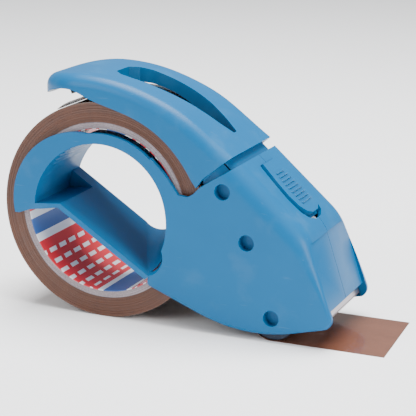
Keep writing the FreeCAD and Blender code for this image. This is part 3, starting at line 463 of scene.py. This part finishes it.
def turned(name, profile, ring, steps):
    """A closed ring turned about an axis across: the profile holds (radius, across) points."""
    deselect_all()
    bpy.ops.mesh.primitive_circle_add(vertices=len(profile), fill_type="NOTHING")
    piece = bpy.context.object
    piece.name = name
    for vertex, (radius, across) in zip(piece.data.vertices, profile):
        vertex.co = (ring.centre.x + radius, across, ring.centre.z)
    bpy.ops.object.mode_set(mode="EDIT")
    bpy.ops.mesh.select_all(action="SELECT")
    bpy.ops.mesh.spin(steps=steps, angle=math.tau, center=ring.centre, axis=ACROSS)
    bpy.ops.mesh.select_all(action="SELECT")
    bpy.ops.mesh.remove_doubles(threshold=WELD / 2)
    bpy.ops.mesh.normals_make_consistent(inside=False)
    bpy.ops.object.mode_set(mode="OBJECT")
    settle(piece)
    bpy.ops.object.shade_smooth_by_angle(angle=SMOOTH_ANGLE)
    return piece


# ---------------------------------------------------------------- the roll

LAYER_RIDGES = 44
LAYER_STAGGER = 0.16 * MM
LAYER_SEED = 50
RIDGE_START, RIDGE_END = 0.1, 0.9
FACE_EDGE = 0.15 * MM
WINDING_STEPS, CORE_STEPS = 180, 120
CORE_ROUND = 0.35 * MM
LINER_SHORT = 0.3 * MM


def make_winding(material):
    """The wound film, whose layers stand out unevenly at both sides."""
    ring = Ring("tape_winding")
    chance = random.Random(LAYER_SEED)
    step = (ring.outer - ring.inner) / LAYER_RIDGES
    near_side, far_side = [], []
    for layer in range(LAYER_RIDGES):
        start = ring.inner + layer * step
        for side, end, inward in ((near_side, ring.near, 1), (far_side, ring.far, -1)):
            place = end + inward * chance.random() ** 2 * LAYER_STAGGER
            side.append((start + RIDGE_START * step, place))
            side.append((start + RIDGE_END * step, place))
    face = [(ring.outer, ring.near + FACE_EDGE), (ring.outer, ring.far - FACE_EDGE)]
    piece = turned("roll_winding", near_side[:-1] + face + far_side[::-1][1:], ring, WINDING_STEPS)
    dress(piece, material, "tape_roll")
    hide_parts("tape_winding")


def make_core(material):
    """The card core, whose ends are softened at their corners."""
    ring = Ring("roll_core")
    soft, profile = CORE_ROUND, []
    for end, inward in ((ring.near, 1), (ring.far, -1)):
        side = [(ring.inner, end + inward * soft), (ring.inner + soft * 0.4, end + inward * soft * 0.2),
                (ring.inner + soft, end), (ring.outer - soft, end),
                (ring.outer - soft * 0.3, end + inward * soft * 0.3), (ring.outer, end + inward * soft)]
        profile += side if inward == 1 else side[::-1]
    piece = turned("roll_core_tube", profile, ring, CORE_STEPS)
    dress(piece, material, "tape_roll")
    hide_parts("roll_core")


def make_liner(material):
    """The printed paper that lines the core, a hair short of its ends."""
    ring = Ring("core_liner")
    near, far = ring.near + LINER_SHORT, ring.far - LINER_SHORT
    profile = [(ring.inner, near), (ring.outer, near), (ring.outer, far), (ring.inner, far)]
    piece = turned("roll_liner", profile, ring, CORE_STEPS)
    dress(piece, material, "tape_roll")
    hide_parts("core_liner")


def make_film(material):
    """The film that runs off the roll, round the roller and out over the ground."""
    piece = smoothed_copy("tape_web", "tape_film")
    dress(piece, material, "frame")


# ---------------------------------------------------------------- mouldings

# CAD node, name of the smoothed piece, body it rides on.
MOULDINGS = [
    ("near_shell", "near_moulding", "frame"),
    ("far_shell", "far_moulding", "frame"),
    ("hub_rim", "hub_rim_moulding", "frame"),
    ("handle", "handle_moulding", "handle_arm"),
    ("thumb_slider", "slider_moulding", "slider")]


def make_mouldings(material):
    """The blue mouldings of the body, the handle and the slider."""
    for node, name, body in MOULDINGS:
        piece = smoothed_copy(node, name)
        dress(piece, material, body)


RIB_COUNT, RIB_PITCH = 9, 2.15 * MM
RIB_START, RIB_LENGTH, RIB_HEIGHT = 7.0 * MM, 1.1 * MM, 0.75 * MM
RIB_HALF_WIDTHS = (4.6 * MM, 6.4 * MM)
RIB_SUNK, RIB_ROUND = 0.1 * MM, 0.22 * MM
RIB_TOP = (0.55, 0.9, 0.55)


def make_thumb_ribs(material):
    """Ribs across the thumb slider, each a low bar that narrows upwards with rounded ends."""
    along = Vector(next(joint["axis"] for joint in frame["joints"] if joint["name"] == "slider_slide"))
    along.normalize()
    out = along.cross(ACROSS)
    corners = corners_of("thumb_slider")
    level = max(corner.dot(out) for corner in corners)
    start = min(corner.dot(along) for corner in corners if corner.dot(out) > level - 0.05 * MM)
    turn = Matrix((along, ACROSS, out)).transposed().to_4x4()
    for number in range(RIB_COUNT):
        share = number / (RIB_COUNT - 1)
        swell = math.sin(math.pi * share * 0.75)
        half_width = RIB_HALF_WIDTHS[0] + (RIB_HALF_WIDTHS[1] - RIB_HALF_WIDTHS[0]) * swell
        place = along * (start + RIB_START + number * RIB_PITCH) + out * (level + RIB_HEIGHT / 2 - RIB_SUNK)
        deselect_all()
        bpy.ops.mesh.primitive_cube_add(size=1)
        rib = bpy.context.object
        rib.name = "thumb_rib_%d" % (number + 1)
        rib.matrix_world = Matrix.Translation(place) @ turn @ Matrix.Diagonal(
            (RIB_LENGTH, 2 * half_width, RIB_HEIGHT, 1))
        settle(rib)
        bpy.ops.object.mode_set(mode="EDIT")
        bpy.ops.mesh.select_all(action="DESELECT")
        bpy.ops.object.mode_set(mode="OBJECT")
        for face in rib.data.polygons:
            face.select = face.normal.dot(out) > 0.9
        bpy.ops.object.mode_set(mode="EDIT")
        bpy.ops.transform.resize(value=RIB_TOP, center_override=place + out * RIB_HEIGHT / 2)
        bpy.ops.object.mode_set(mode="OBJECT")
        apply_modifier(rib, "BEVEL", width=RIB_ROUND, segments=3, limit_method="ANGLE")
        bpy.ops.object.shade_smooth_by_angle(angle=SMOOTH_ANGLE)
        dress(rib, material, "slider")


# ---------------------------------------------------------------- roller, cutter and fasteners

SLEEVE_ROUND, SLEEVE_GROOVE = 0.9 * MM, 0.25 * MM
SLEEVE_STEPS = 72


def make_roller_sleeve(material):
    """The rubber sleeve, with rounded shoulders and two shallow grooves."""
    ring = Ring("roller_tyre")
    round_off, groove = SLEEVE_ROUND, SLEEVE_GROOVE
    ends = []
    for end, inward in ((ring.near, 1), (ring.far, -1)):
        turns = [math.radians(15 * step) for step in range(7)]
        side = [(ring.outer - round_off + round_off * math.sin(turn),
                 end + inward * (round_off - round_off * math.cos(turn))) for turn in turns]
        ends.append([(ring.inner, end)] + side)
    middle = []
    third = (ring.far - ring.near) / 3
    for across in (-third / 2, third / 2):
        middle += [(ring.outer, across - 2 * groove), (ring.outer - groove, across - groove),
                   (ring.outer - groove, across + groove), (ring.outer, across + 2 * groove)]
    piece = turned("roller_sleeve", ends[0] + middle + ends[1][::-1], ring, SLEEVE_STEPS)
    dress(piece, material, "roller")
    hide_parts("roller_tyre")


SLOT_LENGTH, SLOT_WIDTH, SLOT_DEPTH = 1.25, 0.26, 1.1 * MM
HEAD_ROUND = 0.12 * MM


def make_screw_heads(material):
    """Heads with a cross slot, at the bottom of the three recesses of the far side."""
    for node in ("pivot_screw", "middle_screw", "roller_screw"):
        low, high = (Vector(corner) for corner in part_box(node))
        centre, radius = (low + high) / 2, (high.x - low.x) / 2
        face = Vector((centre.x, high.y, centre.z))
        piece = smoothed_copy(node, node + "_cut")
        for turn in (0.0, math.pi / 2):
            deselect_all()
            bpy.ops.mesh.primitive_cube_add(size=1)
            slot = bpy.context.object
            slot.matrix_world = Matrix.Translation(face) @ Matrix.Rotation(turn, 4, "Y") @ Matrix.Diagonal(
                (radius * SLOT_LENGTH, 2 * SLOT_DEPTH, radius * SLOT_WIDTH, 1))
            settle(slot)
            apply_modifier(piece, "BOOLEAN", operation="DIFFERENCE", object=slot, solver="EXACT")
            bpy.data.objects.remove(slot)
        apply_modifier(piece, "BEVEL", width=HEAD_ROUND, segments=2, limit_method="ANGLE")
        bpy.ops.object.shade_smooth_by_angle(angle=SMOOTH_ANGLE)
        dress(piece, material, "frame")


def finish_cad_nodes(finishes):
    """The CAD nodes whose shape is right keep it, and get their finish."""
    for node, material in finishes.items():
        thing = frame["nodes"][node]
        if not thing.material_slots:
            thing.data.materials.append(None)
        for held in thing.material_slots:
            held.material = material


FLOOR_SIZE = 8


def make_floor(material):
    """Paper that the dispenser stands on, wide enough to reach the horizon."""
    deselect_all()
    bpy.ops.mesh.primitive_plane_add(size=FLOOR_SIZE)
    floor = bpy.context.object
    floor.name = "floor"
    floor.data.materials.append(material)


# ---------------------------------------------------------------- putting it together

BLUE_DEEP, BLUE_LIGHT = (0.0, 0.092, 0.235, 1), (0.0, 0.106, 0.262, 1)

roll = Ring("tape_winding")
blue = moulded_plastic("blue_moulding", BLUE_DEEP, BLUE_LIGHT, 0.38)
steel = brushed_steel("ground_steel", rgb(206, 198, 204), 1)
dark = plain_moulding("dark_moulding", rgb(26, 30, 38), rgb(44, 48, 56), 0.5)
pale = plain_moulding("pale_moulding", rgb(206, 212, 218), rgb(226, 230, 234), 0.42)
pad = plain_moulding("pad_rubber", rgb(34, 34, 36), rgb(52, 52, 54), 0.66)

set_camera()
set_studio()
make_floor(studio_floor("studio_paper"))
make_winding(wound_film("wound_brown_film", roll.centre, roll.outer))
make_core(rolled_card("grey_card", roll.centre))
make_liner(printed_liner("printed_liner", roll.centre, Ring("core_liner").inner))
make_film(clear_film("brown_film"))
make_mouldings(blue)
make_thumb_ribs(blue)
make_roller_sleeve(sleeve_rubber("sleeve_rubber", Ring("roller_tyre").centre))
make_screw_heads(steel)
finish_cad_nodes({
    "roller_hub": dark, "blade_carrier": dark, "brake_pad": pad,
    "slider_strap": pale, "tape_guide_leaf": pale,
    "cutter_blade": steel, "blade_rivet_near": steel, "blade_rivet_far": steel,
    "handle_spring": steel, "blade_spring": steel})
